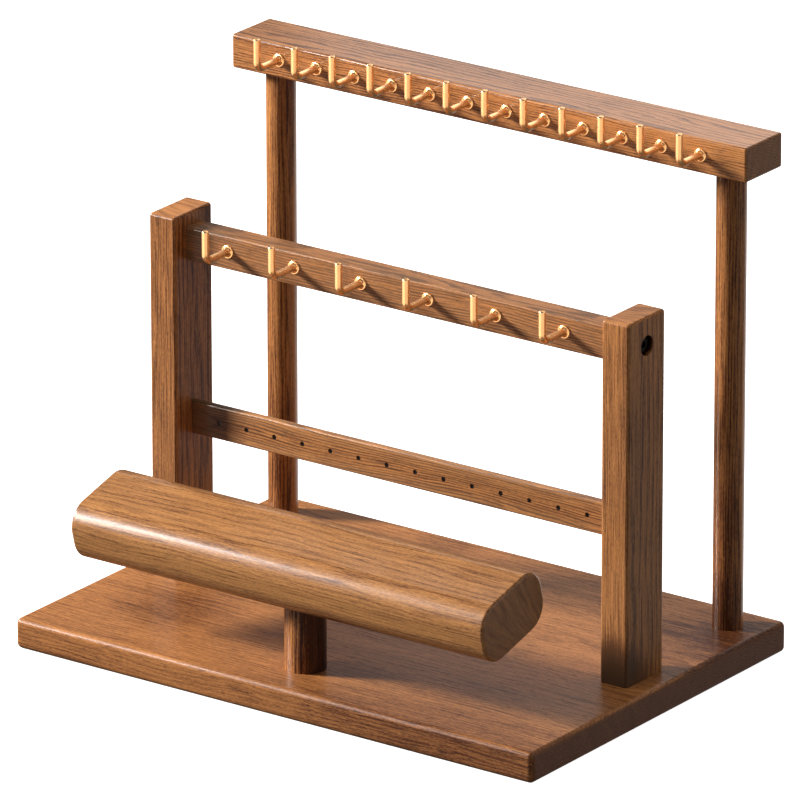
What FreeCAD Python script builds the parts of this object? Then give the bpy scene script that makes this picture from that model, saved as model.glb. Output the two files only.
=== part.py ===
import FreeCAD, Part
import os
import re
import Sketcher
from FreeCAD import Rotation, Vector
from math import atan2, pi

# Jewelry stand: a base board carries a tall rear bar on two round rods, a lower front
# frame with a hook bar and a thin rail for earrings, and a tilted bracelet roll on a
# stub. Millimetres; the origin is the middle of the base's underside, +X to the right
# seen from the front, -Y to the front, +Z up.

# Driving sizes. Each is one cell of the spreadsheet, under the same name.
SIZES = {
    # base board
    "base_width": 300,
    "base_depth": 210,
    "base_thick": 15.4,
    "base_round": 2.8,
    # rear rods, with a turned tenon on top
    "rod_dia": 14.7,
    "rod_height": 228.6,
    "rod_from_side": 19.4,
    "rod_from_back": 21.3,
    "tenon_dia": 9,
    "tenon_length": 10,
    # rear bar
    "rear_bar_from_side": 1.35,
    "rear_bar_depth": 30.2,
    "rear_bar_height": 17.2,
    "rear_bar_round": 1.2,
    # front posts
    "post_width": 15.4,
    "post_depth": 30,
    "post_height": 179.7,
    "post_from_side": 11.4,
    "post_round": 1.6,
    "frame_from_front": 108,
    # front bar, between the posts
    "front_bar_thick": 12.8,
    "front_bar_height": 16.7,
    "front_bar_drop": 6.5,
    "front_bar_round": 1,
    # earring rail, let into both posts
    "rail_thick": 4,
    "rail_height": 17,
    "rail_lift": 67.3,
    "rail_round": 1.2,
    "mortise_depth": 5,
    "earring_count": 14,
    "earring_dia": 2.5,
    "earring_left_margin": 15.5,
    "earring_right_margin": 16.5,
    # bracelet roll and its stub
    "roll_length": 238.4,
    "roll_width": 49,
    "roll_thick": 30,
    "roll_corner": 12.2,
    "roll_end_round": 1.6,
    "roll_tilt": 15,
    "roll_lift": 51.4,
    "roll_from_front": 28.8,
    "stub_dia": 20,
    # screw-in hooks
    "wire_dia": 3.6,
    "hook_reach": 17.7,
    "hook_rise": 15.4,
    "hook_bend": 4,
    "hook_tip_round": 0.7,
    "collar_dia": 6.6,
    "collar_rim": 0.7,
    "collar_length": 3.8,
    "collar_round": 0.3,
    "shank_dia": 2.8,
    "shank_length": 9,
    "shank_point": 1.6,
    # hook rows: height above their bar's underside, margins from the bar's ends
    "rear_hook_count": 12,
    "rear_hook_height": 9.1,
    "rear_hook_left_margin": 28,
    "rear_hook_right_margin": 25.6,
    "front_hook_count": 6,
    "front_hook_height": 9.2,
    "front_hook_left_margin": 25,
    "front_hook_right_margin": 27,
    # pan-head assembly screws, their recesses and places
    "screw_dia": 4,
    "screw_length": 30,
    "screw_point": 2.5,
    "screw_head_dia": 8.6,
    "screw_head_height": 3,
    "screw_head_round": 0.9,
    "socket_across": 3,
    "socket_depth": 1.8,
    "recess_dia": 10,
    "recess_depth": 5,
    "bar_screw_height": 9.2,
    "post_screw_pitch": 16,
    # clearances: snug fits on the radius, free screw holes, ends of blind holes
    "snug_gap": 0.05,
    "screw_gap": 0.25,
    "end_gap": 0.4,
}

# Places that several pieces share, as formulas of the sizes.
ROD_X = "(base_width / 2 - rod_from_side)"
ROD_Y = "(base_depth / 2 - rod_from_back)"
POST_X = "(base_width / 2 - post_from_side - post_width / 2)"
FRAME_Y = "(frame_from_front - base_depth / 2)"
ROLL_Y = "(roll_from_front - base_depth / 2)"
REAR_BAR_Z = "(base_thick + rod_height)"
REAR_BAR_LENGTH = "(base_width - 2 * rear_bar_from_side)"
FRONT_BAR_LIFT = "(post_height - front_bar_drop - front_bar_height)"
FRONT_BAR_LENGTH = f"(2 * {POST_X} - post_width)"
SHANK_HOLE_DIA = "(shank_dia + 2 * snug_gap)"
SHANK_HOLE_DEPTH = "(shank_length + end_gap)"
PILOT_DIA = "(screw_dia + 2 * snug_gap)"
PILOT_ABOVE_BASE = "(recess_depth + screw_length - base_thick + end_gap)"
PILOT_IN_BAR = "(recess_depth + screw_length - post_width + end_gap)"

# Screws driven up through the base: two in each front post, one in each rod and the stub.
BASE_SCREWS = [
    (f"{side} * {POST_X}", f"{FRAME_Y} + {row} * post_screw_pitch / 2")
    for side in (-1, 1)
    for row in (-1, 1)
]
BASE_SCREWS += [(f"{side} * {ROD_X}", ROD_Y) for side in (-1, 1)]
BASE_SCREWS += [("0", ROLL_Y)]

# How near an edge counts as touching a limit of its body's box, and the least that
# any cut takes away, in cubic millimetres.
TOUCH = 0.01
LEAST_CUT = 1

doc = FreeCAD.newDocument("jewelry_stand")
sheet = doc.addObject("Spreadsheet::Sheet", "dim")
for row, (size_name, size_value) in enumerate(SIZES.items(), 1):
    sheet.set(f"A{row}", size_name)
    sheet.set(f"B{row}", str(size_value))
    sheet.setAlias(f"B{row}", size_name)
doc.recompute()


def bind(thing, where, formula):
    """Drive a property or a named constraint by a formula of the sheet's sizes."""
    thing.setExpression(where, re.sub(r"[a-z]+(_[a-z]+)+", r"dim.\g<0>", formula))


def value(formula):
    """What a formula of the sheet's sizes comes to."""
    return float(sheet.evalExpression(formula))


def new_body(label, x="0", y="0", z="0"):
    """An empty body whose own origin stands at x, y, z."""
    body = doc.addObject("PartDesign::Body", label)
    body.Label = label
    for axis, formula in zip("xyz", (x, y, z)):
        bind(body, f"Placement.Base.{axis}", formula)
    return body


def new_sketch(body, name, plane="XY_Plane", x="0", y="0", z="0"):
    """A sketch on one of the body's origin planes, shifted by x, y in it and z off it."""
    sketch = body.newObject("Sketcher::SketchObject", f"{body.Name}_{name}")
    support = [each for each in body.Origin.OriginFeatures if each.Role == plane]
    sketch.AttachmentSupport = [(support[0], "")]
    sketch.MapMode = "FlatFace"
    for axis, formula in zip("xyz", (x, y, z)):
        bind(sketch, f"AttachmentOffset.Base.{axis}", formula)
    return sketch


def dimension(sketch, kind, formula, *ends):
    """A dimensional constraint with its own name, driven by a formula."""
    number = sketch.addConstraint(Sketcher.Constraint(kind, *ends, value(formula)))
    name = f"size_{number}"
    sketch.renameConstraint(number, name)
    bind(sketch, f"Constraints.{name}", formula)


def fix_point(sketch, item, end, x, y):
    """Hold a point of a sketch at x, y from the sketch's origin."""
    for kind, axis, formula in (("DistanceX", -2, x), ("DistanceY", -1, y)):
        if formula == "0":
            sketch.addConstraint(Sketcher.Constraint("PointOnObject", item, end, axis))
        else:
            dimension(sketch, kind, formula, -1, 1, item, end)


def add_circle(sketch, diameter, x="0", y="0"):
    """A circle centred at x, y."""
    centre = Vector(value(x), value(y))
    item = sketch.addGeometry(Part.Circle(centre, Vector(0, 0, 1), value(diameter) / 2))
    fix_point(sketch, item, 3, x, y)
    dimension(sketch, "Diameter", diameter, item)


def add_rectangle(sketch, width, height):
    """A rectangle centred on the sketch's origin."""
    right = value(width) / 2
    top = value(height) / 2
    corners = [Vector(-right, -top), Vector(right, -top), Vector(right, top), Vector(-right, top)]
    for number in range(4):
        sketch.addGeometry(Part.LineSegment(corners[number], corners[(number + 1) % 4]))
    for number in range(4):
        sketch.addConstraint(Sketcher.Constraint("Coincident", number, 2, (number + 1) % 4, 1))
        level = "Vertical" if number % 2 else "Horizontal"
        sketch.addConstraint(Sketcher.Constraint(level, number))
    sketch.addConstraint(Sketcher.Constraint("Symmetric", 0, 1, 2, 1, -1, 1))
    dimension(sketch, "DistanceX", width, 0, 1, 0, 2)
    dimension(sketch, "DistanceY", height, 1, 1, 1, 2)


def add_lines(sketch, points):
    """Straight lines from each point to the next."""
    spots = [Vector(value(x), value(y)) for x, y in points]
    last = len(points) - 2
    for number in range(last + 1):
        sketch.addGeometry(Part.LineSegment(spots[number], spots[number + 1]))
        fix_point(sketch, number, 1, *points[number])
    fix_point(sketch, last, 2, *points[last + 1])
    for number in range(last):
        sketch.addConstraint(Sketcher.Constraint("Coincident", number, 2, number + 1, 1))


def add_hexagon(sketch, across):
    """A regular hexagon about the sketch's origin, given across its flats."""
    reach = Vector(value(f"{across} / 2 / cos(30)"), 0)
    corners = [Rotation(Vector(0, 0, 1), 60 * number).multVec(reach) for number in range(6)]
    for number in range(6):
        sketch.addGeometry(Part.LineSegment(corners[number], corners[(number + 1) % 6]))
    ring = sketch.addGeometry(Part.Circle(Vector(0, 0), Vector(0, 0, 1), reach.x), True)
    sketch.addConstraint(Sketcher.Constraint("Coincident", ring, 3, -1, 1))
    for number in range(6):
        sketch.addConstraint(Sketcher.Constraint("Coincident", number, 2, (number + 1) % 6, 1))
        sketch.addConstraint(Sketcher.Constraint("PointOnObject", number, 1, ring))
    for number in range(1, 6):
        sketch.addConstraint(Sketcher.Constraint("Equal", 0, number))
    sketch.addConstraint(Sketcher.Constraint("PointOnObject", 0, 1, -1))
    dimension(sketch, "Diameter", f"{across} / cos(30)", ring)


def add_pad(sketch, length):
    """Pad a sketch along its normal."""
    body = sketch.getParentGeoFeatureGroup()
    pad = body.newObject("PartDesign::Pad", f"{sketch.Name}_pad")
    pad.Profile = sketch
    bind(pad, "Length", length)
    doc.recompute()


def add_revolution(sketch, axis):
    """Turn a sketch once round one of its own axes."""
    body = sketch.getParentGeoFeatureGroup()
    turned = body.newObject("PartDesign::Revolution", f"{sketch.Name}_turned")
    turned.Profile = sketch
    turned.ReferenceAxis = (sketch, [axis])
    turned.Angle = 360
    doc.recompute()


def must_cut(body, feature, volume_before):
    """Stop if a cut has taken nothing away."""
    doc.recompute()
    if feature.Shape.Volume > volume_before - LEAST_CUT:
        raise RuntimeError(f"{body.Label}: {feature.Name} cuts nothing")


def add_pocket(sketch, length="", along_normal=False):
    """Cut a sketch into its body, against its normal unless told otherwise; no length: through."""
    body = sketch.getParentGeoFeatureGroup()
    before = body.Tip.Shape.Volume
    pocket = body.newObject("PartDesign::Pocket", f"{sketch.Name}_cut")
    pocket.Profile = sketch
    pocket.Reversed = along_normal
    if length:
        bind(pocket, "Length", length)
    else:
        pocket.Type = "ThroughAll"
    must_cut(body, pocket, before)
    return pocket


def add_screw_holes(sketch, along_normal):
    """Free holes with a flat-bottomed recess for the screw head, right through."""
    body = sketch.getParentGeoFeatureGroup()
    before = body.Tip.Shape.Volume
    doc.recompute()
    hole = body.newObject("PartDesign::Hole", f"{sketch.Name}_holes")
    hole.Profile = sketch
    hole.Reversed = along_normal
    hole.DepthType = "ThroughAll"
    hole.HoleCutType = "Counterbore"
    bind(hole, "Diameter", "screw_dia + 2 * screw_gap")
    bind(hole, "HoleCutDiameter", "recess_dia")
    bind(hole, "HoleCutDepth", "recess_depth")
    must_cut(body, hole, before)


def repeat_in_row(sketch, cut, length, count):
    """Repeat a cut along the sketch's horizontal axis over the given length."""
    body = sketch.getParentGeoFeatureGroup()
    before = cut.Shape.Volume
    pattern = body.newObject("PartDesign::LinearPattern", f"{sketch.Name}_row")
    pattern.Originals = [cut]
    pattern.Direction = (sketch, ["H_Axis"])
    bind(pattern, "Length", length)
    bind(pattern, "Occurrences", count)
    body.Tip = pattern
    must_cut(body, pattern, before)


def round_edges(body, name, radius, wanted=None):
    """Fillet the edges that pass a test of the edge and the body's box, or all of them."""
    base = body.Tip
    box = base.Shape.BoundBox
    fillet = body.newObject("PartDesign::Fillet", f"{body.Name}_{name}")
    if wanted:
        edges = enumerate(base.Shape.Edges, 1)
        fillet.Base = (base, [f"Edge{number}" for number, edge in edges if wanted(edge, box)])
    else:
        fillet.Base = (base, [])
        fillet.UseAllEdges = True
    bind(fillet, "Radius", radius)
    doc.recompute()


def spans(axis):
    """A test for edges that run the body's whole length along an axis."""
    size = f"{axis}Length"
    return lambda edge, box: getattr(edge.BoundBox, size) > getattr(box, size) - TOUCH


def at_low_end(axis):
    """A test for edges that lie wholly in the body's low end along an axis."""
    low, high = f"{axis}Min", f"{axis}Max"
    return lambda edge, box: getattr(edge.BoundBox, high) < getattr(box, low) + TOUCH


def at_high_end(axis):
    """A test for edges that lie wholly in the body's high end along an axis."""
    low, high = f"{axis}Min", f"{axis}Max"
    return lambda edge, box: getattr(edge.BoundBox, low) > getattr(box, high) - TOUCH


def drill_from_below(body, diameter, depth):
    """A blind pilot hole up the middle of a piece's lower end."""
    pilot = new_sketch(body, "pilot")
    add_circle(pilot, diameter)
    add_pocket(pilot, depth, along_normal=True)


def base_board():
    """One flat board, every edge eased, with screw holes recessed from below."""
    body = new_body("base_board")
    outline = new_sketch(body, "outline")
    add_rectangle(outline, "base_width", "base_depth")
    add_pad(outline, "base_thick")
    round_edges(body, "eased", "base_round")
    screws = new_sketch(body, "screws")
    for x, y in BASE_SCREWS:
        add_circle(screws, PILOT_DIA, x, y)
    add_screw_holes(screws, along_normal=True)
    return body


def rear_rod(label, side):
    """A round rod, butted and screwed on the base, its turned tenon in the rear bar."""
    body = new_body(label, f"{side} * {ROD_X}", ROD_Y, "base_thick")
    section = new_sketch(body, "section")
    add_circle(section, "rod_dia")
    add_pad(section, "rod_height")
    tenon = new_sketch(body, "tenon", z="rod_height")
    add_circle(tenon, "tenon_dia")
    add_pad(tenon, "tenon_length")
    drill_from_below(body, PILOT_DIA, PILOT_ABOVE_BASE)
    return body


def drill_hook_row(body, row, length, depth, height):
    """The row of blind holes for hook shanks in the front face of a bar."""
    first = f"-{length} / 2 + {row}_hook_left_margin"
    spot = new_sketch(body, "shank", "XZ_Plane", first, height, f"{depth} / 2")
    add_circle(spot, SHANK_HOLE_DIA)
    cut = add_pocket(spot, SHANK_HOLE_DEPTH)
    spread = f"{length} - {row}_hook_left_margin - {row}_hook_right_margin"
    repeat_in_row(spot, cut, spread, f"{row}_hook_count")


def rear_bar():
    """The tall bar: blind sockets for both rods below, twelve hook holes in front."""
    body = new_body("rear_bar", "0", ROD_Y, REAR_BAR_Z)
    outline = new_sketch(body, "outline")
    add_rectangle(outline, REAR_BAR_LENGTH, "rear_bar_depth")
    add_pad(outline, "rear_bar_height")
    round_edges(body, "eased", "rear_bar_round")
    sockets = new_sketch(body, "sockets")
    for side in (-1, 1):
        add_circle(sockets, "tenon_dia + 2 * snug_gap", f"{side} * {ROD_X}")
    add_pocket(sockets, "tenon_length + end_gap", along_normal=True)
    drill_hook_row(body, "rear", REAR_BAR_LENGTH, "rear_bar_depth", "rear_hook_height")
    return body


def front_post(label, side):
    """A flat post: mortised inside for the rail, recessed outside for the bar's screw."""
    body = new_body(label, f"{side} * {POST_X}", FRAME_Y, "base_thick")
    section = new_sketch(body, "section")
    add_rectangle(section, "post_width", "post_depth")
    add_pad(section, "post_height")
    foot = at_low_end("Z")
    round_edges(body, "eased", "post_round", lambda edge, box: not foot(edge, box))
    mortise = new_sketch(
        body, "mortise", "YZ_Plane", "0", "rail_lift + rail_height / 2", f"{-side} * post_width / 2"
    )
    add_rectangle(mortise, "rail_thick + 2 * snug_gap", "rail_height + 2 * snug_gap")
    add_pocket(mortise, "mortise_depth + end_gap", along_normal=side > 0)
    height = f"{FRONT_BAR_LIFT} + bar_screw_height"
    screw = new_sketch(body, "screw", "YZ_Plane", "0", height, f"{side} * post_width / 2")
    add_circle(screw, PILOT_DIA)
    add_screw_holes(screw, along_normal=side < 0)
    pilots = new_sketch(body, "pilots")
    for row in (-1, 1):
        add_circle(pilots, PILOT_DIA, "0", f"{row} * post_screw_pitch / 2")
    add_pocket(pilots, PILOT_ABOVE_BASE, along_normal=True)
    return body


def front_bar():
    """The lower hook bar, butted between the posts with a screw pilot in each end."""
    body = new_body("front_bar", "0", FRAME_Y, f"base_thick + {FRONT_BAR_LIFT}")
    outline = new_sketch(body, "outline")
    add_rectangle(outline, FRONT_BAR_LENGTH, "front_bar_thick")
    add_pad(outline, "front_bar_height")
    round_edges(body, "eased", "front_bar_round", spans("X"))
    for name, side in (("left_end", -1), ("right_end", 1)):
        face = f"{side} * {FRONT_BAR_LENGTH} / 2"
        end = new_sketch(body, name, "YZ_Plane", "0", "bar_screw_height", face)
        add_circle(end, PILOT_DIA)
        add_pocket(end, PILOT_IN_BAR, along_normal=side < 0)
    drill_hook_row(body, "front", FRONT_BAR_LENGTH, "front_bar_thick", "front_hook_height")
    return body


def earring_rail():
    """A thin rail, its ends let into the posts, with a row of through holes."""
    body = new_body("earring_rail", "0", FRAME_Y, "base_thick + rail_lift")
    outline = new_sketch(body, "outline")
    add_rectangle(outline, f"{FRONT_BAR_LENGTH} + 2 * mortise_depth", "rail_thick")
    add_pad(outline, "rail_height")
    round_edges(body, "eased", "rail_round", spans("X"))
    spot = new_sketch(
        body,
        "earring",
        "XZ_Plane",
        f"-{FRONT_BAR_LENGTH} / 2 + earring_left_margin",
        "rail_height / 2",
        "rail_thick / 2",
    )
    add_circle(spot, "earring_dia")
    cut = add_pocket(spot)
    spread = f"{FRONT_BAR_LENGTH} - earring_left_margin - earring_right_margin"
    repeat_in_row(spot, cut, spread, "earring_count")
    return body


def bracelet_roll():
    """The tilted roll, round-cornered along its length, its socket bored plumb to mid-height."""
    body = new_body("bracelet_roll", "0", ROLL_Y, "base_thick + roll_lift")
    body.Placement.Rotation = Rotation(Vector(1, 0, 0), 1)
    bind(body, "Placement.Rotation.Angle", "roll_tilt")
    section = new_sketch(body, "section", "YZ_Plane", z="-roll_length / 2")
    add_rectangle(section, "roll_width", "roll_thick")
    add_pad(section, "roll_length")
    round_edges(body, "corners", "roll_corner", spans("X"))
    round_edges(body, "left_end", "roll_end_round", at_low_end("X"))
    round_edges(body, "right_end", "roll_end_round", at_high_end("X"))
    socket = new_sketch(body, "socket")
    socket.AttachmentOffset = FreeCAD.Placement(Vector(), Rotation(Vector(-1, 0, 0), 1))
    bind(socket, "AttachmentOffset.Rotation.Angle", "roll_tilt")
    add_circle(socket, "stub_dia + 2 * snug_gap")
    add_pocket(socket)
    return body


def roll_stub():
    """The round stub between the base and the roll's socket."""
    body = new_body("roll_stub", "0", ROLL_Y, "base_thick")
    section = new_sketch(body, "section")
    add_circle(section, "stub_dia")
    add_pad(section, "roll_lift - end_gap")
    drill_from_below(body, PILOT_DIA, PILOT_ABOVE_BASE)
    return body


def add_collar_and_shank(body):
    """Turned part of a hook: a pointed shank in the wood, a collar flared against the face."""
    profile = new_sketch(body, "turned", "YZ_Plane")
    points = [
        ("-collar_length", "wire_dia / 2"),
        ("-collar_length", "0"),
        ("shank_length", "0"),
        ("shank_length - shank_point", "shank_dia / 2"),
        ("0", "shank_dia / 2"),
        ("0", "collar_dia / 2"),
        ("-collar_rim", "collar_dia / 2"),
    ]
    add_lines(profile, points)
    # The flare is an arc, tangent to the wire, that ends at the rim.
    along = value("collar_length - collar_rim")
    out = value("(collar_dia - wire_dia) / 2")
    radius = (along**2 + out**2) / (2 * out)
    centre = Vector(value("-collar_length"), value("wire_dia / 2") + radius)
    circle = Part.Circle(centre, Vector(0, 0, 1), radius)
    flare = profile.addGeometry(Part.ArcOfCircle(circle, -pi / 2, atan2(out - radius, along)))
    profile.addConstraint(Sketcher.Constraint("Coincident", flare, 1, 0, 1))
    profile.addConstraint(Sketcher.Constraint("Coincident", flare, 2, flare - 1, 2))
    profile.addConstraint(Sketcher.Constraint("Vertical", flare, 3, flare, 1))
    add_revolution(profile, "H_Axis")


def add_wire(body):
    """Bent part of a hook: out from the face, round the bend, straight up."""
    ring = new_sketch(body, "wire", "XZ_Plane")
    add_circle(ring, "wire_dia")
    path = new_sketch(body, "path", "YZ_Plane")
    leg = value("-hook_reach")
    bend = value("hook_bend")
    circle = Part.Circle(Vector(leg + bend, bend), Vector(0, 0, 1), bend)
    path.addGeometry(Part.LineSegment(Vector(0, 0), Vector(leg + bend, 0)))
    path.addGeometry(Part.ArcOfCircle(circle, pi, 3 * pi / 2))
    path.addGeometry(Part.LineSegment(Vector(leg, bend), Vector(leg, value("hook_rise"))))
    path.addConstraint(Sketcher.Constraint("Coincident", 0, 1, -1, 1))
    path.addConstraint(Sketcher.Constraint("Horizontal", 0))
    path.addConstraint(Sketcher.Constraint("Tangent", 0, 2, 1, 2))
    path.addConstraint(Sketcher.Constraint("Tangent", 1, 1, 2, 1))
    path.addConstraint(Sketcher.Constraint("Vertical", 2))
    dimension(path, "Radius", "hook_bend", 1)
    fix_point(path, 2, 2, "-hook_reach", "hook_rise")
    doc.recompute()
    pipe = body.newObject("PartDesign::AdditivePipe", f"{body.Name}_pipe")
    pipe.Profile = ring
    pipe.Spine = path
    doc.recompute()


def hook(label, x, face_y, height):
    """One screw-in hook, its collar against the bar's front face."""
    body = new_body(label, x, face_y, height)
    add_collar_and_shank(body)
    rim = value("-collar_rim") + TOUCH
    widest = value("collar_dia") - TOUCH
    round_edges(
        body,
        "rim",
        "collar_round",
        lambda edge, box: edge.BoundBox.YMax < rim and edge.BoundBox.ZLength > widest,
    )
    add_wire(body)
    round_edges(body, "tip", "hook_tip_round", at_high_end("Z"))
    return body


def hook_row(row, length, face_y, height):
    """The like hooks of one bar, numbered from its left end."""
    margins = f"{row}_hook_left_margin - {row}_hook_right_margin"
    pitch = f"({length} - {margins}) / ({row}_hook_count - 1)"
    return [
        hook(
            f"{row}_hook_{number + 1:02d}",
            f"-{length} / 2 + {row}_hook_left_margin + {number} * {pitch}",
            face_y,
            f"{height} + {row}_hook_height",
        )
        for number in range(SIZES[f"{row}_hook_count"])
    ]


def screw(label, x, y, z, axis, angle):
    """A pan-head screw with a hexagon socket, its head's seat at x, y, z."""
    body = new_body(label, x, y, z)
    body.Placement.Rotation = Rotation(axis, angle)
    profile = new_sketch(body, "turned", "XZ_Plane")
    points = [
        ("0", "-screw_head_height"),
        ("screw_head_dia / 2", "-screw_head_height"),
        ("screw_head_dia / 2", "0"),
        ("screw_dia / 2", "0"),
        ("screw_dia / 2", "screw_length - screw_point"),
        ("0", "screw_length"),
    ]
    add_lines(profile, points)
    axis_line = profile.addGeometry(Part.LineSegment(Vector(0, value("screw_length")), Vector(0, -1)))
    profile.addConstraint(Sketcher.Constraint("Coincident", axis_line, 1, axis_line - 1, 2))
    profile.addConstraint(Sketcher.Constraint("Coincident", axis_line, 2, 0, 1))
    add_revolution(profile, "V_Axis")
    round_edges(body, "head", "screw_head_round", at_low_end("Z"))
    key = new_sketch(body, "key", z="-screw_head_height")
    add_hexagon(key, "socket_across")
    add_pocket(key, "socket_depth", along_normal=True)
    return body


def assembly_screws():
    """All nine like screws, as one group: seven up through the base, two into the front bar."""
    upright = Vector(0, 0, 1)
    screws = [
        screw(f"base_screw_{number}", x, y, "recess_depth", upright, 0)
        for number, (x, y) in enumerate(BASE_SCREWS, 1)
    ]
    for name, side in (("bar_screw_left", -1), ("bar_screw_right", 1)):
        seat = f"{side} * ({POST_X} + post_width / 2 - recess_depth)"
        height = f"base_thick + {FRONT_BAR_LIFT} + bar_screw_height"
        screws.append(screw(name, seat, FRAME_Y, height, Vector(0, -side, 0), 90))
    group = doc.addObject("Part::Compound", "assembly_screws")
    group.Label = "assembly_screws"
    group.Links = screws
    return group


pieces = [
    base_board(),
    rear_rod("rear_left_rod", -1),
    rear_rod("rear_right_rod", 1),
    rear_bar(),
    front_post("front_left_post", -1),
    front_post("front_right_post", 1),
    front_bar(),
    earring_rail(),
    roll_stub(),
    bracelet_roll(),
    assembly_screws(),
]
pieces += hook_row("rear", REAR_BAR_LENGTH, f"{ROD_Y} - rear_bar_depth / 2", REAR_BAR_Z)
pieces += hook_row(
    "front", FRONT_BAR_LENGTH, f"{FRAME_Y} - front_bar_thick / 2", f"base_thick + {FRONT_BAR_LIFT}"
)
doc.recompute()

for thing in doc.Objects:
    if "Invalid" in thing.State or "Error" in thing.State:
        raise RuntimeError(f"{thing.Label} failed: {thing.State}")
os.makedirs("parts", exist_ok=True)
for piece in pieces:
    if piece.Shape.isNull() or not piece.Shape.isValid():
        raise RuntimeError(f"{piece.Label} has no valid shape")
    piece.Shape.exportStep(f"parts/{piece.Label}.step")
print(len(pieces), "pieces written")
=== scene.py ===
from math import cos, pi, radians, sin, tan

import bmesh
import bpy
import numpy as np
from mathutils import Matrix, Vector


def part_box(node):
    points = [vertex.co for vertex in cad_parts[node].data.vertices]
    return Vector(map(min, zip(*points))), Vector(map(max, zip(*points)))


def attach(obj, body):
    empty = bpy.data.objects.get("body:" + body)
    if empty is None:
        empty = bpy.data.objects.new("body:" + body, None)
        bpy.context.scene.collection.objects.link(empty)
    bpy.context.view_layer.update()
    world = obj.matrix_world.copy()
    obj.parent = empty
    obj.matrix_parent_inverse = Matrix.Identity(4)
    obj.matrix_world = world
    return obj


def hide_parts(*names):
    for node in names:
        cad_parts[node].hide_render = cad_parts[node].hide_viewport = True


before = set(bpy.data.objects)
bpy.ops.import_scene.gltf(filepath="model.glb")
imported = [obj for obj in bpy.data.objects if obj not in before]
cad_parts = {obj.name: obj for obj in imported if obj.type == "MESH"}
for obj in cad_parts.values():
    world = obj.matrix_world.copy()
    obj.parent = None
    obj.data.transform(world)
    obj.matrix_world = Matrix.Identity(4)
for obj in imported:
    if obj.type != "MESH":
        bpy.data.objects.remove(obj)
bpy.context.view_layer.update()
scene = bpy.context.scene

# ---------------------------------------------------------------------------------------
# Studio. A long lens looks down on the stand from its front right. One small soft box at the
# left casts the shadows; cards, sheets and a dim white room fill the rest. Lengths in metres,
# angles in degrees, lamps in watts.
# ---------------------------------------------------------------------------------------
CAMERA_AIM = Vector((-0.00125, 0.00149, 0.12533))
CAMERA_AZIMUTH = 35.781
CAMERA_ELEVATION = 19.934
CAMERA_ROLL = -0.068
CAMERA_DISTANCE = 5.1624
CAMERA_LENS = 493.08  # millimetres of lens over a 36 mm sensor
ROOM_GREY = 0.085
CARD_DISTANCE = 1.5
CARD_SIZE = (2.7, 1.4)
CARD_TINT = (1, 0.93, 0.82)


def towards(azimuth, elevation):
    """The unit vector to a place at that azimuth, 0 in front of the stand and 90 at its right:
    (sin a cos e, -cos a cos e, sin e)."""
    a, e = radians(azimuth), radians(elevation)
    return Vector((sin(a) * cos(e), -cos(a) * cos(e), sin(e)))


def facing(place, target, roll=0):
    """A placement at `place` whose own -Z axis looks at `target`."""
    turn = (target - place).to_track_quat("-Z", "Y").to_matrix().to_4x4()
    return Matrix.Translation(place) @ turn @ Matrix.Rotation(radians(roll), 4, "Z")


def hang_light(name, azimuth, elevation, distance, width, height, watts, tint=(1, 1, 1), hidden_from=()):
    """A soft box of that size, facing the middle of the stand. Hidden from "diffuse", it shows only
    as sheen in the lacquer; hidden from "glossy", it lights the wood and leaves no sheen."""
    data = bpy.data.lights.new(name, "AREA")
    data.shape = "RECTANGLE"
    data.size = width
    data.size_y = height
    data.energy = watts
    data.color = tint
    lamp = bpy.data.objects.new(name, data)
    lamp.matrix_world = facing(CAMERA_AIM + distance * towards(azimuth, elevation), CAMERA_AIM)
    for kind_of_ray in hidden_from:
        setattr(lamp, f"visible_{kind_of_ray}", False)
    scene.collection.objects.link(lamp)
    return lamp


camera = bpy.data.objects.new("camera", bpy.data.cameras.new("camera"))
camera.data.lens = CAMERA_LENS
camera.data.clip_end = 20
camera_place = CAMERA_AIM + CAMERA_DISTANCE * towards(CAMERA_AZIMUTH, CAMERA_ELEVATION)
camera.matrix_world = facing(camera_place, CAMERA_AIM, CAMERA_ROLL)
scene.collection.objects.link(camera)
scene.camera = camera

# The key is small and strong enough to cast clear shadows. The kicker, the low sheet and the high
# card are there for the sheen on the lacquer, and the ceiling and the bounce for soft fill.
hang_light("key_box", -65, 24, 2.6, 0.45, 0.45, 152)
kicker = hang_light("kicker_card", -42.5, 19, 0.8, 0.08, 0.4, 2.6, hidden_from=["diffuse"])
hang_light("ceiling", 0, 88, 2.2, 3, 3, 19, hidden_from=["glossy"])
hang_light("floor_bounce", -15, -25, 2, 2, 1, 5, hidden_from=["glossy"])
back_card = hang_light("back_card", 187, 28, 1.56, 1.7, 0.5, 1.9)
hang_light("right_wall", 105, 12, 2.5, 3.5, 2.5, 9)
hang_light("low_white_sheet", 182, -18, 2.5, 2.4, 1.3, 10, hidden_from=["diffuse"])
hang_light("high_card", 208, 40, 1.35, 0.9, 0.5, 1.7, hidden_from=["diffuse"])

# Two lamps leave out the pieces with that word in their names. The kicker would draw a white
# line down each round rod, and the back card one along the rounded back edge of the roll, whose
# stub is left out with it.
LIT_UNLESS = ((kicker, "rod"), (back_card, "roll"))
for lamp, skipped in LIT_UNLESS:
    lamp.light_linking.receiver_collection = bpy.data.collections.new(f"all_but_{skipped}")

# Three warm cards light only the hooks, so that each wire has something bright to mirror.
brass_pieces = bpy.data.collections.new("brass_pieces")
for name, azimuth, elevation, watts in (("brass_card_left", -38, -18, 20),
                                        ("brass_card_right", 50, -8, 12),
                                        ("brass_card_above", 160, 55, 14)):
    card = hang_light(name, azimuth, elevation, CARD_DISTANCE, *CARD_SIZE, watts, CARD_TINT)
    card.light_linking.receiver_collection = brass_pieces

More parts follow.
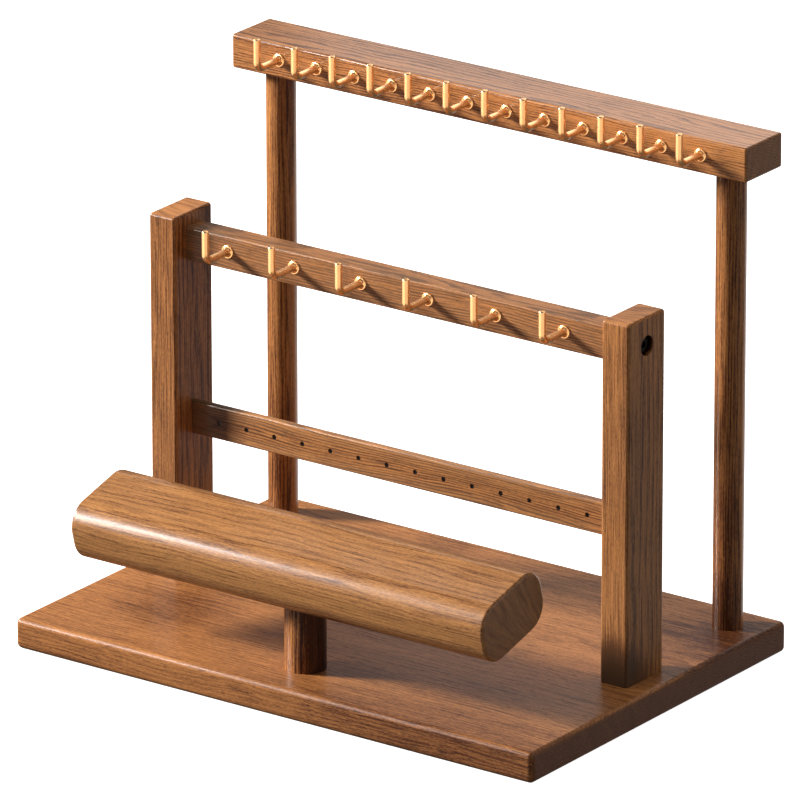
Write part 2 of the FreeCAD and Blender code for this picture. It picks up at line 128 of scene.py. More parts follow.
room = bpy.data.worlds.new("dim_white_room")
room.use_nodes = True
room.node_tree.nodes["Background"].inputs["Color"].default_value = (ROOM_GREY, ROOM_GREY, ROOM_GREY, 1)
scene.world = room
scene.view_settings.view_transform = "Standard"

# ---------------------------------------------------------------------------------------
# Base board: one flat hardwood board with every edge eased, planed, stained and lacquered.
# Seven screws go up through it, from flat-bottomed recesses in its underside.
# ---------------------------------------------------------------------------------------
MM = 0.001
BASE_EASE = 2.8 * MM
RECESS_RADIUS = 5 * MM
RECESS_DEPTH = 5 * MM
SCREW_PITCH = 16 * MM  # between the two screws under each front post
SAME_SPOT = 0.001 * MM  # points nearer than this are one point
BASE_HEART = (148, 30, -160)
# Darker patches in the stain: (place, reach, depth), in mm from its middle. In order: in front
# of the left post, the back edge, the front right, the back right, the left of the front edge.
# They are partly uneven stain and partly painted shade, standing in for the light's fall-off
# towards the right.
BASE_STAIN_AND_SHADE_PATCHES = (((-96, -47, 0), (45, 36, 40), 0.36),
                ((-40, 97, 0), (25, 25, 40), 0.25),
                ((100, -125, 0), (165, 80, 60), 0.4),
                ((150, 65, 0), (78, 65, 40), 0.56),
                ((-130, -108, -4), (190, 15, 15), 0.17))
BASE_LOOKS = {"lines": 0.2, "streaks": 0.2, "band": 0.5, "fibres": 0.85, "end": 0.8, "rays": 0.15,
              "gloss": 0.45, "coat_gloss": 0.22}


def board_surface(length, width, height, corner, low_ease, high_ease, steps=8):
    """A board along X, centred. Round its section, a point is the centre of its corner's arc plus
    `corner` times its direction; each corner's arc starts where the last one's flat side ends. At
    an end the section draws in by ease * (1 - cos t) along that direction while it moves on by
    ease * sin t, for t from 0 to a quarter turn in `steps`. Rows run along X, columns round it."""
    angle = np.concatenate([np.linspace(k, k + 1, steps + 1) for k in range(4)]) * pi / 2
    centre_y = np.repeat([1, -1, -1, 1], steps + 1) * (width / 2 - corner)
    centre_z = np.repeat([1, 1, -1, -1], steps + 1) * (height / 2 - corner)
    turn = np.linspace(0, pi / 2, steps + 1)
    low_end = low_ease * (1 - np.sin(turn[::-1])) - length / 2
    high_end = length / 2 - high_ease * (1 - np.sin(turn))
    drawn_in = np.concatenate([low_ease * (1 - np.cos(turn[::-1])), high_ease * (1 - np.cos(turn))])
    reach = corner - drawn_in[:, None]
    points = np.empty((len(drawn_in), len(angle), 3))
    points[..., 0] = np.concatenate([low_end, high_end])[:, None]
    points[..., 1] = centre_y + reach * np.cos(angle)
    points[..., 2] = centre_z + reach * np.sin(angle)
    return points


def turned_surface(radius, station, steps=48):
    """A turned piece about X: each row is a circle of that radius at that station, with points at
    (station, radius * cos a, radius * sin a)."""
    radius = np.array(radius, dtype=float)[:, None]
    angle = np.linspace(0, 2 * pi, steps, endpoint=False)
    points = np.empty((len(radius), steps, 3))
    points[..., 0] = np.array(station, dtype=float)[:, None]
    points[..., 1] = radius * np.cos(angle)
    points[..., 2] = radius * np.sin(angle)
    return points


def placed(points, centre=(0, 0, 0), along="X", side=1, tilt=0):
    """Turn a surface built along its own axis to lie along another, tilt it about X, and move it
    to `centre`. Each turn only renames axes in a cycle, or reverses two of them, so that faces
    keep pointing outwards."""
    cycles = {"X": (0, 1, 2), "Y": (2, 0, 1), "Z": (1, 2, 0)}
    points = points[..., cycles[along]] * (side, side, 1)
    turn = np.array(Matrix.Rotation(radians(tilt), 3, "X"))
    return points @ turn.T + np.array(centre)


def drill_bit(radius, reach, centre, along, steps=48):
    """A cutter for a flat-bottomed round hole: a cylinder that reaches that far each way."""
    return placed(turned_surface([radius, radius], [-reach, reach], steps), centre, along)


def as_mesh(name, surfaces):
    """One mesh of closed grids: columns wrap round, a flat face closes each end, and points that
    fall together are merged."""
    corners, faces, start = [], [], 0
    for points in surfaces:
        rows, columns = points.shape[:2]
        index = start + np.arange(rows * columns).reshape(rows, columns)
        beside = np.roll(index, -1, axis=1)
        quads = np.stack([index[:-1], beside[:-1], beside[1:], index[1:]], axis=-1)
        faces += quads.reshape(-1, 4).tolist() + [index[0, ::-1].tolist(), index[-1].tolist()]
        corners.append(points.reshape(-1, 3))
        start += rows * columns
    mesh = bpy.data.meshes.new(name)
    mesh.from_pydata(np.concatenate(corners).tolist(), [], faces)
    edit = bmesh.new()
    edit.from_mesh(mesh)
    bmesh.ops.remove_doubles(edit, verts=edit.verts, dist=SAME_SPOT)
    bmesh.ops.dissolve_degenerate(edit, edges=edit.edges, dist=SAME_SPOT)
    bmesh.ops.recalc_face_normals(edit, faces=edit.faces)
    edit.to_mesh(mesh)
    edit.free()
    return mesh


def new_piece(name, surfaces, material, nodes, drill=(), crease=35):
    """A finished piece: its mesh, less the solids in `drill`, shaded smooth up to the crease angle
    and weighted so that flat faces stay flat. It stands for the CAD nodes and rides the stand."""
    piece = bpy.data.objects.new(name, as_mesh(name, surfaces))
    scene.collection.objects.link(piece)
    if len(drill):
        bits = bpy.data.objects.new("bits", as_mesh("bits", drill))
        scene.collection.objects.link(bits)
        cut = piece.modifiers.new("drilled", "BOOLEAN")
        cut.object = bits
        cut.solver = "EXACT"
        bpy.context.view_layer.update()
        whole = piece.evaluated_get(bpy.context.evaluated_depsgraph_get())
        mesh = bpy.data.meshes.new_from_object(whole)
        piece.modifiers.clear()
        piece.data = mesh
        bpy.data.objects.remove(bits)
    piece.data.polygons.foreach_set("use_smooth", np.ones(len(piece.data.polygons), dtype=bool))
    piece.data.set_sharp_from_angle(angle=radians(crease))
    piece.data.materials.clear()
    piece.data.materials.append(material)
    weighted = piece.modifiers.new("flat_faces", "WEIGHTED_NORMAL")
    weighted.keep_sharp = True
    weighted.weight = 100
    for lamp, skipped in LIT_UNLESS:
        if skipped not in name:
            lamp.light_linking.receiver_collection.objects.link(piece)
    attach(piece, "root")
    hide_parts(*nodes)
    return piece


def colour(text):
    """A hex sRGB colour as the linear values that shaders take."""
    parts = [int(text[k:k + 2], 16) / 255 for k in (1, 3, 5)]
    return [c / 12.92 if c <= 0.04045 else ((c + 0.055) / 1.055) ** 2.4 for c in parts] + [1]


def new_finish(name):
    """An empty material, with its node tree and its shader."""
    material = bpy.data.materials.new(name)
    material.use_nodes = True
    return material, material.node_tree, material.node_tree.nodes["Principled BSDF"]


def fill(tree, node, inputs):
    """Set each named or numbered input of a node, or link it to another node's output."""
    for key, source in dict(inputs).items():
        if isinstance(source, bpy.types.NodeSocket):
            tree.links.new(source, node.inputs[key])
        else:
            node.inputs[key].default_value = source


def add_node(tree, kind, inputs=(), output=0, **settings):
    """Add a shader node with its settings, fill its inputs, and return one of its outputs."""
    node = tree.nodes.new("ShaderNode" + kind)
    for key, value in settings.items():
        setattr(node, key, value)
    fill(tree, node, inputs)
    return node.outputs[output]


SOFT = {"interpolation_type": "SMOOTHSTEP"}  # on a map range: no hard start or stop


def stained_wood(name, centre, heart, grain="X", tilt=0, shade=0.0, pale="#CB864A", patches=(),
                 rings=1.5, lines=0.75, streaks=0.3, fibres=1.1, band=0.6, sway=1.0, end=0.5,
                 rays=0.5, gloss=0.4, coat=0.3, coat_gloss=0.16, worn_by=0.3):
    """Open-pored hardwood, planed along its grain, with a brown stain and a satin lacquer. To the
    eye: dark growth lines that sway along the board, fine fibres and short dark pores between
    them, a fan of rays where it is sawn across, and a soft sheen that breaks up on the pores.

    The pattern lies in mm from the piece's middle, its X along the grain. `heart` says how far
    along the log that middle was, and where the pith, which the rings go round, lay from it.
    A spot's tone is 0 in the pale stain and 1 in the dark one: 0.28 + shade, plus each layer
    times its weight, less half the weight of a noise, which is a half on average. Rings are
    `rings` mm apart, as in slow-grown timber. Fibres, flecks and pores are 0.05 to 0.3 mm wide
    in real wood and are drawn 0.4 to 0.5 mm wide, because finer ones would not show. A patch
    adds its depth at its place, fading out at its reach; patches paint in light and shade as
    well as uneven stain. Past a tone of 1 the colour goes on to a black brown: painted deep
    shade, where patches darken recesses, holes and shadows. Where an edge sticks out, up to
    `worn_by` of the stain has rubbed off."""
    material, tree, shader = new_finish(name)
    turn = Matrix.Rotation(radians(-tilt), 3, "X") if grain == "X" else Matrix.Rotation(pi / 2, 3, "Y")
    middle = turn @ Vector(centre) / MM
    spot = add_node(tree, "TexCoord", output="Object")
    inside = add_node(tree, "Mapping", {0: spot, "Location": -middle, "Rotation": turn.to_euler(),
                                        "Scale": (1 / MM, 1 / MM, 1 / MM)})
    in_log = add_node(tree, "VectorMath", {0: inside, 1: (heart[0], -heart[1], -heart[2])},
                      operation="ADD")

    def drawn_out(place, along, across, detail=2, output=0):
        """Noise with grains `along` mm long and `across` mm wide: the place over those, as noise."""
        place = add_node(tree, "VectorMath", {0: place, 1: (1 / along, 1 / across, 1 / across)},
                         operation="MULTIPLY")
        return add_node(tree, "TexNoise", {"Vector": place, "Scale": 1, "Detail": detail}, output)

    def swayed(place, along, across, reach):
        """The place, moved across the grain: place + reach * (coloured noise - 0.5)."""
        drift = add_node(tree, "VectorMath", {0: drawn_out(in_log, along, across, output=1),
                                              1: (0.5, 0.5, 0.5)}, operation="SUBTRACT")
        return add_node(tree, "VectorMath", {0: drift, 1: (0, reach, reach), 2: place},
                        operation="MULTIPLY_ADD")

    def stacked(total, layers):
        """The total plus each layer times its weight."""
        for layer, weight in layers:
            total = add_node(tree, "Math", {0: layer, 1: weight, 2: total}, operation="MULTIPLY_ADD")
        return total

    # Growth lines: across each ring it darkens from a third of the way, then drops at its end; the
    # lines break up into runs of about 36 mm.
    wavy = swayed(swayed(in_log, 120, 26, 9 * sway), 24, 4, 1.1 * sway)
    across = add_node(tree, "VectorMath", {0: wavy, 1: (0, 1, 1)}, operation="MULTIPLY")
    radius = add_node(tree, "VectorMath", {0: across}, output="Value", operation="LENGTH")
    ring = add_node(tree, "Math", {0: radius, 1: rings}, operation="DIVIDE")
    ring = add_node(tree, "Math", {0: ring}, operation="FRACT")
    line = add_node(tree, "MapRange", {0: ring, 1: 0.35, 2: 0.75}, **SOFT)
    for fade in (add_node(tree, "MapRange", {0: ring, 1: 1, 2: 0.88}, **SOFT),
                 add_node(tree, "MapRange", {0: drawn_out(wavy, 36, 1.4), 1: 0.32, 2: 0.56}, **SOFT)):
        line = add_node(tree, "Math", {0: line, 1: fade}, operation="MULTIPLY")

    # The long grain: streaks, fibres, slow bands where the stain took more or less, and flecks.
    streak = add_node(tree, "MapRange", {0: drawn_out(wavy, 40, 0.7, 1), 1: 0.52, 2: 0.62}, **SOFT)
    fibre = drawn_out(wavy, 22, 0.42, 3)
    cloud = drawn_out(wavy, 130, 9, 3)
    fleck = drawn_out(in_log, 2, 0.5, 1)
    pore = add_node(tree, "MapRange", {0: drawn_out(wavy, 7, 0.42, 1), 1: 0.58, 2: 0.7}, **SOFT)
    flecks = 0.8
    tone = stacked(0.28 + shade - 0.5 * (fibres + band + flecks),
                   [(line, lines), (streak, streaks), (fibre, fibres), (cloud, band), (fleck, flecks)])
    for place, reach, depth in patches:
        away = add_node(tree, "VectorMath", {0: inside, 1: place}, operation="SUBTRACT")
        away = add_node(tree, "VectorMath", {0: away, 1: reach}, operation="DIVIDE")
        away = add_node(tree, "VectorMath", {0: away}, output="Value", operation="LENGTH")
        patch = add_node(tree, "MapRange", {0: away, 1: 1, 2: 0.2, 4: depth}, **SOFT)
        tone = stacked(tone, [(patch, 1)])
    # Past a tone of 1: the black brown of painted deep shade, in recesses, holes and shadows.
    painted_deep_shade = add_node(tree, "MapRange", {0: tone, 1: 1, 2: 1.9}, **SOFT)
    tone = add_node(tree, "Clamp", {0: tone})

    # The sawn ends: rays 20 mm long, 38 to the radian, with the growth lines faint between them.
    angle = add_node(tree, "Math", {0: add_node(tree, "SeparateXYZ", {0: wavy}, "Y"),
                                    1: add_node(tree, "SeparateXYZ", {0: wavy}, "Z")},
                     operation="ARCTAN2")
    fan = add_node(tree, "CombineXYZ", {0: radius, 1: angle})
    fan = add_node(tree, "VectorMath", {0: fan, 1: (1 / 20, 38, 0)}, operation="MULTIPLY")
    fan = add_node(tree, "TexNoise", {"Vector": fan, "Scale": 1, "Detail": 3})
    sawn = stacked(end - 0.5 * rays, [(fan, rays), (line, 0.4 * lines)])
    end_on = add_node(tree, "SeparateXYZ", {0: add_node(tree, "TexCoord", output="Normal")}, grain)
    end_on = add_node(tree, "Math", {0: end_on}, operation="ABSOLUTE")
    end_on = add_node(tree, "MapRange", {0: end_on, 1: 0.7, 2: 0.95}, **SOFT)
    tone = add_node(tree, "Mix", {0: end_on, 2: tone, 3: sawn})

    # Colours, one over the other: pale to dark stain, painted deep shade, filled pores, rubbed edges.
    filled = add_node(tree, "Math", {0: pore, 1: stacked(0.15, [(tone, 0.7)])}, operation="MULTIPLY")
    edge = add_node(tree, "NewGeometry", output="Pointiness")
    worn = add_node(tree, "MapRange", {0: edge, 1: 0.52, 2: 0.62, 4: worn_by}, **SOFT)
    stain = colour(pale)
    for amount, over in ((tone, "#542810"), (painted_deep_shade, "#240F06"), (filled, "#3A1A0A"), (worn, "#C99A6B")):
        stain = add_node(tree, "Mix", {0: amount, 6: stain, 7: colour(over)}, 2, data_type="RGBA")
    height = stacked(0, [(fibre, 0.3), (pore, -1)])
    fill(tree, shader, {
        "Base Color": stain,
        "Roughness": stacked(gloss - 0.05, [(pore, 0.15), (tone, 0.1)]),
        "Normal": add_node(tree, "Bump", {"Height": height, "Strength": 0.15, "Distance": 0.04 * MM}),
        "Specular IOR Level": 0.25,  # half the usual, so that dark stain stays dark under its coat
        "Coat Weight": coat,
        "Coat Roughness": coat_gloss,
    })
    return material


def centre_of(node):
    """The middle of a CAD node's box."""
    low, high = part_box(node)
    return (Vector(low) + Vector(high)) / 2


def board(node, corner, low_ease, high_ease, heart, along="X", drill=(), **looks):
    """A board that fills a CAD node's box, cut from its own place in the log."""
    size = Vector(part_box(node)[1]) - Vector(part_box(node)[0])
    length, width, height = (size[k] for k in {"X": (0, 1, 2), "Z": (2, 0, 1)}[along])
    surface = board_surface(length, width, height, corner, low_ease, high_ease)
    surface = placed(surface, centre_of(node), along)
    wood = stained_wood(f"stained_wood_{node}", centre_of(node), heart, along, **looks)
    return new_piece(f"{node}_timber", [surface], wood, [node], drill)


front_feet = [centre_of(f"front_{side}_post")[:2] for side in ("left", "right")]
screw_feet = [(x, y + k * SCREW_PITCH / 2) for x, y in front_feet for k in (-1, 1)]
screw_feet += [centre_of(node)[:2] for node in ("rear_left_rod", "rear_right_rod", "roll_stub")]
board("base_board", BASE_EASE, BASE_EASE, BASE_EASE, BASE_HEART, patches=BASE_STAIN_AND_SHADE_PATCHES, **BASE_LOOKS,
      drill=[drill_bit(RECESS_RADIUS, RECESS_DEPTH, (x, y, 0), "Z") for x, y in screw_feet])

# ---------------------------------------------------------------------------------------
# Rear rods: two turned dowels of the same wood, screwed up through the base, each with a
# turned tenon that is glued into the bar above.
# ---------------------------------------------------------------------------------------
ROD_RADIUS = 7.35 * MM
TENON_RADIUS = 4.5 * MM
# A tight, straight grain; the rods are sanded round, so no edge has rubbed pale. Up a rod the
# patches are: painted shade at the foot, more so on the right rod, less dark above it, and a
# paler right side, which is a painted reflection.
ROD_LOOKS = {"lines": 0.5, "rings": 1.2, "sway": 0.4, "coat": 0.5, "coat_gloss": 0.28, "worn_by": 0.0}
bar_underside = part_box("rear_bar")[0][2]
for side, sign, heart in (("left", -1, (185, 14, 60)), ("right", 1, (222, -9, 42))):
    rod = f"rear_{side}_rod"
    low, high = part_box(rod)
    turned = turned_surface([ROD_RADIUS, ROD_RADIUS, TENON_RADIUS, TENON_RADIUS],
                            [low[2], bar_underside, bar_underside, high[2]])
    x, y, z = centre_of(rod)
    rod_patches = (((-115, 0, 0), (36, 90, 90), 0.3 + 0.104 * sign),
                   ((-68, 0, 0), (24, 90, 90), 0.15),
                   ((0, 3, -8), (400, 7, 7), -0.7))
    wood = stained_wood(f"stained_wood_{rod}", (x, y, z), heart, "Z", shade=0.08 + 0.026 * sign,
                        patches=rod_patches, **ROD_LOOKS)
    new_piece(f"{rod}_timber", [placed(turned, (x, y, 0), "Z")], wood, [rod])

# ---------------------------------------------------------------------------------------
# Rear bar: a squared board laid flat across the rods, its edges just broken. Its right half is
# painted paler, painted light that makes up for the key's fall-off to the right, and the lacquer
# lies thicker on it than on the other boards.
# ---------------------------------------------------------------------------------------
REAR_BAR_EASE = 1.2 * MM
REAR_BAR_HEART = (259, -35, -70)
board("rear_bar", REAR_BAR_EASE, REAR_BAR_EASE, REAR_BAR_EASE, REAR_BAR_HEART, shade=-0.03,
      lines=0.6, streaks=0.2, rings=1.3, coat=0.9, patches=[((150, 0, 0), (180, 60, 60), -0.25)])

# ---------------------------------------------------------------------------------------
# Front posts: two upright boards with a square foot, screwed up through the base. A recess
# in each outer face takes the head of the screw that holds the front bar.
# ---------------------------------------------------------------------------------------
POST_EASE = 1.6 * MM
BAR_SCREW_RISE = 0.85 * MM  # the screws go in this far above the middle of the front bar
POST_LOOKS = {"rings": 0.9, "lines": 0.45, "band": 0.35, "rays": 2.2, "sway": 0.35}
bar_screw_height = centre_of("front_bar")[2] + BAR_SCREW_RISE
for side, sign, heart in (("left", -1, (296, 20, 104)), ("right", 1, (333, -22, 104))):
    post = f"front_{side}_post"
    outer_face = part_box(post)[0 if sign < 0 else 1][0]
    x, y, z = centre_of(post)
    # In order: painted shade at the front of the foot, paler towards the top of the right post, and
    # painted shade in the recess. The pattern's X runs up the post, and its Z to the left.
    post_patches = (((-93, -17, 0), (32, 30, 24), 1.6),
                    ((90, 0, 0), (60, 90, 90), -0.1 - 0.1 * sign),
                    (((bar_screw_height - z) / MM, 0, -4.2 * sign), (6.5, 6.5, 6), 9))
    board(post, POST_EASE, 0, POST_EASE, heart, "Z", shade=0.1 - 0.06 * sign, end=0.26 + 0.06 * sign,
          patches=post_patches, **POST_LOOKS,
          drill=[drill_bit(RECESS_RADIUS, RECESS_DEPTH, (outer_face, y, bar_screw_height), "X")])

# ---------------------------------------------------------------------------------------
# Front bar: a thinner board butted between the posts and held by their screws, square at its
# ends, with the left post's shadow painted on its left end.
# ---------------------------------------------------------------------------------------
FRONT_BAR_EASE = 1 * MM
FRONT_BAR_HEART = (370, 12, -70)
board("front_bar", FRONT_BAR_EASE, 0, 0, FRONT_BAR_HEART, shade=0.1, pale="#C98044", rings=1.35,
      coat_gloss=0.2, patches=[((-118, 0, 0), (34, 40, 40), 0.34)])

# ---------------------------------------------------------------------------------------
# Earring rail: a thin slat let into both posts, drilled through in a row for earring posts.
# Its first patch is the left post's shadow, painted on its left end; its second is painted shade
# inside the holes: a dark band within the slat, which only the walls of the holes show.
# ---------------------------------------------------------------------------------------
RAIL_EASE = 1.2 * MM
RAIL_HEART = (407, 10, -80)
EARRING_HOLES = 14
EARRING_RADIUS = 1.25 * MM
EARRING_BIT = 5 * MM
FIRST_EARRING_HOLE = -107.7 * MM
EARRING_SPAN = 214.4 * MM  # from the first hole to the last
rail_y, rail_z = centre_of("earring_rail")[1:]
hole_places = FIRST_EARRING_HOLE + EARRING_SPAN * np.linspace(0, 1, EARRING_HOLES)
board("earring_rail", RAIL_EASE, 0, 0, RAIL_HEART, shade=0.08, rings=1.35,
      patches=[((-118, 0, 0), (32, 40, 40), 0.48), ((0, 0, 0), (1200, 1.95, 3.5), 6)],
      drill=[drill_bit(EARRING_RADIUS, EARRING_BIT, (x, rail_y, rail_z), "Y", 24) for x in hole_places])

# ---------------------------------------------------------------------------------------
# Roll stub: a short turned pillar, screwed up through the base and cut on a slant at the top
# to seat the tilted roll. Its right side is painted dark: painted shade under the roll.
# ---------------------------------------------------------------------------------------
ROLL_THICK = 30 * MM
ROLL_TILT = 15
STUB_RADIUS = 10 * MM
STUB_HEART = (444, 25, 40)
roll_centre = centre_of("bracelet_roll")
stub = placed(turned_surface([STUB_RADIUS, STUB_RADIUS], [0, 0]), along="Z")
seat_middle = roll_centre[2] - ROLL_THICK / 2 / cos(radians(ROLL_TILT))
stub[0, :, 2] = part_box("roll_stub")[0][2]
stub[1, :, 2] = seat_middle + stub[1, :, 1] * tan(radians(ROLL_TILT))
stub += np.array((roll_centre[0], roll_centre[1], 0))
stub_wood = stained_wood("stained_wood_roll_stub", centre_of("roll_stub"), STUB_HEART, "Z", shade=0.08,
                         lines=0.6, worn_by=0.0, patches=[((0, 0, -10), (80, 15, 15), 1.1)])
new_piece("roll_stub_timber", [stub], stub_wood, ["roll_stub"])

# ---------------------------------------------------------------------------------------
# Bracelet roll: a thick board with its long edges rounded right over, glued to its stub and
# tilted up at the back so that bangles slide on from the ends.
# ---------------------------------------------------------------------------------------
ROLL_LENGTH = 238.4 * MM
ROLL_WIDTH = 49 * MM
ROLL_CORNER = 12.2 * MM
ROLL_END_EASE = 1.6 * MM
ROLL_HEART = (481, 32, -75)
# In order: the front is painted paler along its middle, painted light on the front face; it is
# darker at its lower left; and painted shade runs along the lower edge.
ROLL_PATCHES = (((0, -27, -2), (220, 18, 16), -0.24),
                ((-130, -20, -16), (110, 24, 20), 0.1),
                ((0, -20, -15), (270, 20, 14), 0.5))
ROLL_LOOKS = {"shade": 0.05, "pale": "#C88B50", "rings": 1.6, "lines": 0.27, "streaks": 0.22,
              "fibres": 0.75, "band": 0.4, "end": 0.46, "rays": 1, "coat": 0.8, "coat_gloss": 0.19,
              "worn_by": 0.0}
roll = board_surface(ROLL_LENGTH, ROLL_WIDTH, ROLL_THICK, ROLL_CORNER, ROLL_END_EASE, ROLL_END_EASE, 16)
roll_wood = stained_wood("stained_wood_roll", roll_centre, ROLL_HEART, tilt=ROLL_TILT,
                         patches=ROLL_PATCHES, **ROLL_LOOKS)
new_piece("bracelet_roll_timber", [placed(roll, roll_centre, tilt=ROLL_TILT)], roll_wood,
          ["bracelet_roll"])

# ---------------------------------------------------------------------------------------
# Hooks: brass wire bent square, with a trumpet collar that beds against the bar. Eighteen are
# screwed in by hand, twelve at the back and six in front, all with the tip upright.
# ---------------------------------------------------------------------------------------
WIRE_RADIUS = 1.8 * MM
HOOK_REACH = 17.7 * MM
HOOK_RISE = 15.4 * MM
HOOK_BEND = 4 * MM
TIP_ROUND = 0.8 * MM
COLLAR_RADIUS = 3.3 * MM
COLLAR_RIM = 0.7 * MM
COLLAR_LENGTH = 3.8 * MM
COLLAR_EASE = 0.3 * MM
COLLAR_STEP = 0.5 * MM  # the flare starts this far inside the rim


def wire_surface(bend_steps=17, tip_steps=7):
    """The wire of a hook: out along -Y, round a quarter turn of radius HOOK_BEND, then up to the
    tip, where the radius shrinks by TIP_ROUND * (1 - cos t) while it rises by TIP_ROUND * sin t.
    Each row is a circle square to the path: centre + radius * (cos a * X + sin a * inward)."""
    t = np.linspace(0, pi / 2, bend_steps)
    dome = np.linspace(0, pi / 2, tip_steps)
    bend_out = HOOK_REACH - HOOK_BEND + HOOK_BEND * np.sin(t)
    bend_up = HOOK_BEND - HOOK_BEND * np.cos(t)
    tip_up = HOOK_RISE - TIP_ROUND + TIP_ROUND * np.sin(dome)
    out = np.concatenate([[0], bend_out, np.full(tip_steps, HOOK_REACH)])[:, None]
    up = np.concatenate([[0], bend_up, tip_up])[:, None]
    lean = np.concatenate([[0], t, np.full(tip_steps, pi / 2)])[:, None]
    drawn_in = np.concatenate([np.zeros(1 + bend_steps), TIP_ROUND * (1 - np.cos(dome))])
    radius = WIRE_RADIUS - drawn_in[:, None]
    around = np.linspace(0, 2 * pi, 32, endpoint=False)
    points = np.empty((len(out), len(around), 3))
    points[..., 0] = radius * np.cos(around)
    points[..., 1] = radius * np.sin(around) * np.sin(lean) - out
    points[..., 2] = radius * np.sin(around) * np.cos(lean) + up
    return points


def collar_surface():
    """The collar: a thin rim with its corner eased, then a hollow flare down to the wire, whose
    radius is wire + (start - wire) * (1 - sin t) while it moves out by 1 - cos t of its length."""
    ease = np.linspace(0, pi / 2, 5)
    t = np.linspace(0.12, pi / 2, 14)
    flare_start = COLLAR_RADIUS - COLLAR_STEP
    radius = np.concatenate([[COLLAR_RADIUS], COLLAR_RADIUS - COLLAR_EASE * (1 - np.cos(ease)),
                             WIRE_RADIUS + (flare_start - WIRE_RADIUS) * (1 - np.sin(t))])
    station = np.concatenate([[0], COLLAR_RIM - COLLAR_EASE * (1 - np.sin(ease)),
                              COLLAR_RIM + (COLLAR_LENGTH - COLLAR_RIM) * (1 - np.cos(t))])
    return placed(turned_surface(radius, station, 40), along="Y", side=-1)


def gilt_brass(name):
    """Brass wire, drawn, bent and gilt, then softly polished. To the eye: a warm cream where it
    catches the light, orange in its depths, paler on rubbed edges. The gilding clouds every
    3.3 mm. Drawing lines are really some hundredths of a millimetre wide, and are drawn 1.3 mm
    wide and 6.7 mm long, or they would not show."""
    material, tree, shader = new_finish(name)
    spot = add_node(tree, "TexCoord", output="Object")
    spot = add_node(tree, "Mapping", {0: spot, "Scale": (1 / MM, 1 / MM, 1 / MM)})
    cloud = add_node(tree, "TexNoise", {"Vector": spot, "Scale": 0.3, "Detail": 3})
    drawn = add_node(tree, "VectorMath", {0: spot, 1: (0.8, 0.15, 0.15)}, operation="MULTIPLY")
    drawn = add_node(tree, "TexNoise", {"Vector": drawn, "Scale": 1, "Detail": 2})
    edge = add_node(tree, "NewGeometry", output="Pointiness")
    worn = add_node(tree, "MapRange", {0: edge, 1: 0.52, 2: 0.6})
    gilding = colour("#FFC98C")
    for amount, over in ((cloud, "#F5B475"), (worn, "#FFE9BE")):
        gilding = add_node(tree, "Mix", {0: amount, 6: gilding, 7: colour(over)}, 2, data_type="RGBA")
    fill(tree, shader, {
        "Base Color": gilding,
        "Roughness": add_node(tree, "MapRange", {0: drawn, 1: 0.3, 2: 0.7, 3: 0.25, 4: 0.29}),
        "Normal": add_node(tree, "Bump", {"Height": drawn, "Strength": 0.02, "Distance": 0.03 * MM}),
        "Metallic": 0.9,
        "Coat Weight": 0.4,
        "Coat Roughness": 0.2,
    })
    return material


brass = gilt_brass("gilt_brass_wire")
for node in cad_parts:
    if "hook" in node:
        bar = "rear_bar" if node.startswith("rear") else "front_bar"
        root = np.array((centre_of(node)[0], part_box(bar)[0][1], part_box(node)[1][2] - HOOK_RISE))
        hook = [wire_surface() + root, collar_surface() + root]
        piece = new_piece(f"{node}_wire", hook, brass, [node], crease=50)
        brass_pieces.objects.link(piece)

# ---------------------------------------------------------------------------------------
# Assembly screws: black pan-head wood screws with a hexagon socket. Seven go up through the
# base and one through each post into the front bar; every head sits at the foot of a recess.
# ---------------------------------------------------------------------------------------
SCREW_RADIUS = 2 * MM
SCREW_LENGTH = 30 * MM
SCREW_POINT = 2.5 * MM
SCREW_TIP_RADIUS = 0.2 * MM
HEAD_RADIUS = 4.3 * MM
HEAD_HEIGHT = 3 * MM
HEAD_ROUND = 0.9 * MM
SOCKET_ACROSS = 3 * MM
SOCKET_DEPTH = 1.8 * MM


def screw_surface(steps=48):
    """A screw along X with the seat of its head at 0 and its point ahead. Rows are circles, and the
    head's crown is one quarter round of HEAD_ROUND. In the socket, the last two rows, the radius
    is half the width across flats over cos(a mod 60 - 30)."""
    ease = np.linspace(0, pi / 2, 6)
    shank_radius = [SCREW_TIP_RADIUS, SCREW_RADIUS, SCREW_RADIUS]
    shank_station = [SCREW_LENGTH, SCREW_LENGTH - SCREW_POINT, 0]
    crown_radius = HEAD_RADIUS - HEAD_ROUND * (1 - np.cos(ease))
    crown_station = HEAD_ROUND * (1 - np.sin(ease)) - HEAD_HEIGHT
    radius = np.concatenate([shank_radius, [HEAD_RADIUS], crown_radius, [SOCKET_ACROSS / 2] * 2])
    station = np.concatenate([shank_station, [0], crown_station, [-HEAD_HEIGHT, SOCKET_DEPTH - HEAD_HEIGHT]])
    points = turned_surface(radius, station, steps)
    turn = np.arange(steps) * 2 * pi / steps
    points[-2:, :, 1:] /= np.cos(turn % (pi / 3) - pi / 6)[:, None]
    return points


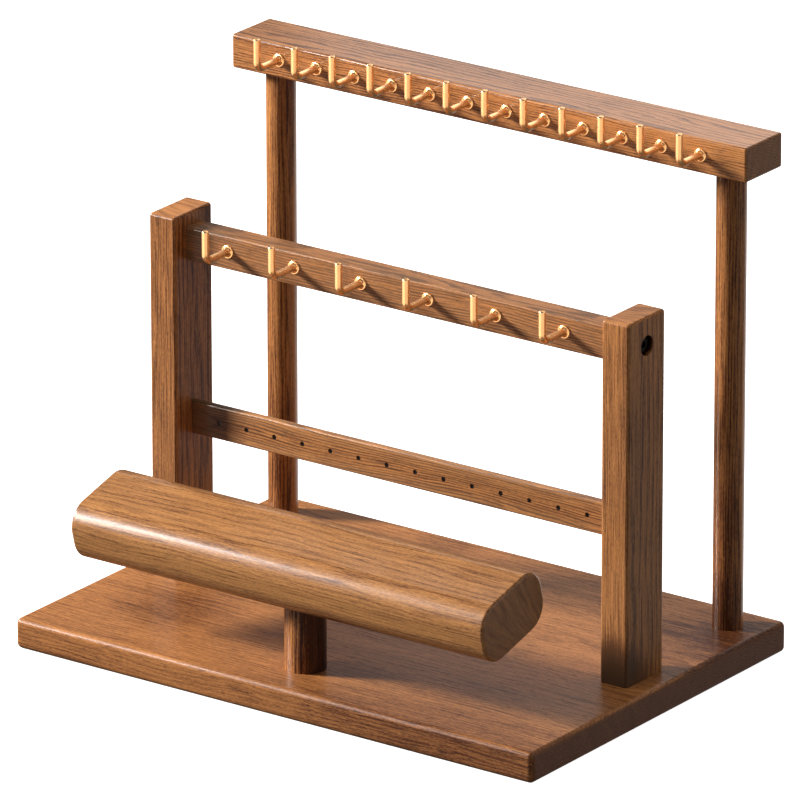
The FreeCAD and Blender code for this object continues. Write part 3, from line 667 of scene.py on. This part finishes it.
def black_steel(name):
    """Steel, blacked in a hot bath and oiled. To the eye: a softly glossy grey black, a little
    browner and rougher in blotches of about 1.4 mm."""
    material, tree, shader = new_finish(name)
    spot = add_node(tree, "TexCoord", output="Object")
    cloud = add_node(tree, "TexNoise", {"Vector": spot, "Scale": 0.7 / MM, "Detail": 3})
    blacking = {0: cloud, 6: colour("#3A3B3F"), 7: colour("#55504B")}
    fill(tree, shader, {
        "Base Color": add_node(tree, "Mix", blacking, 2, data_type="RGBA"),
        "Roughness": add_node(tree, "MapRange", {0: cloud, 3: 0.2, 4: 0.32}),
        "Normal": add_node(tree, "Bump", {"Height": cloud, "Strength": 0.2, "Distance": 0.03 * MM}),
        "Metallic": 1,
    })
    return material


screws = [placed(screw_surface(), (x, y, RECESS_DEPTH), "Z") for x, y in screw_feet]
for side, sign in (("left", -1), ("right", 1)):
    outer_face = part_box(f"front_{side}_post")[0 if sign < 0 else 1][0]
    seat = (outer_face - sign * RECESS_DEPTH, centre_of("front_bar")[1], bar_screw_height)
    screws.append(placed(screw_surface(), seat, "X", -sign))
new_piece("assembly_screws_steel", screws, black_steel("black_steel_screws"), ["assembly_screws"])

# ---------------------------------------------------------------------------------------
# Floor: plain white paper, lit until it is blank, shadows and all. It throws no light back on
# the stand, and lets the lamps that hang below it shine through.
# ---------------------------------------------------------------------------------------
PAPER_CORNERS = [(-4, -4, 0), (4, -4, 0), (4, 6, 0), (-4, 6, 0)]  # metres, well past the view
floor_mesh = bpy.data.meshes.new("floor")
floor_mesh.from_pydata(PAPER_CORNERS, [], [(0, 1, 2, 3)])
floor = bpy.data.objects.new("floor", floor_mesh)
scene.collection.objects.link(floor)
floor.visible_diffuse = False
floor.visible_glossy = False
floor.visible_shadow = False
paper, paper_tree, paper_shader = new_finish("white_paper")
fill(paper_tree, paper_shader, {
    "Base Color": (0.8, 0.8, 0.8, 1),
    "Roughness": 0.9,
    "Emission Color": (1, 1, 1, 1),
    "Emission Strength": 1,
})
floor_mesh.materials.append(paper)
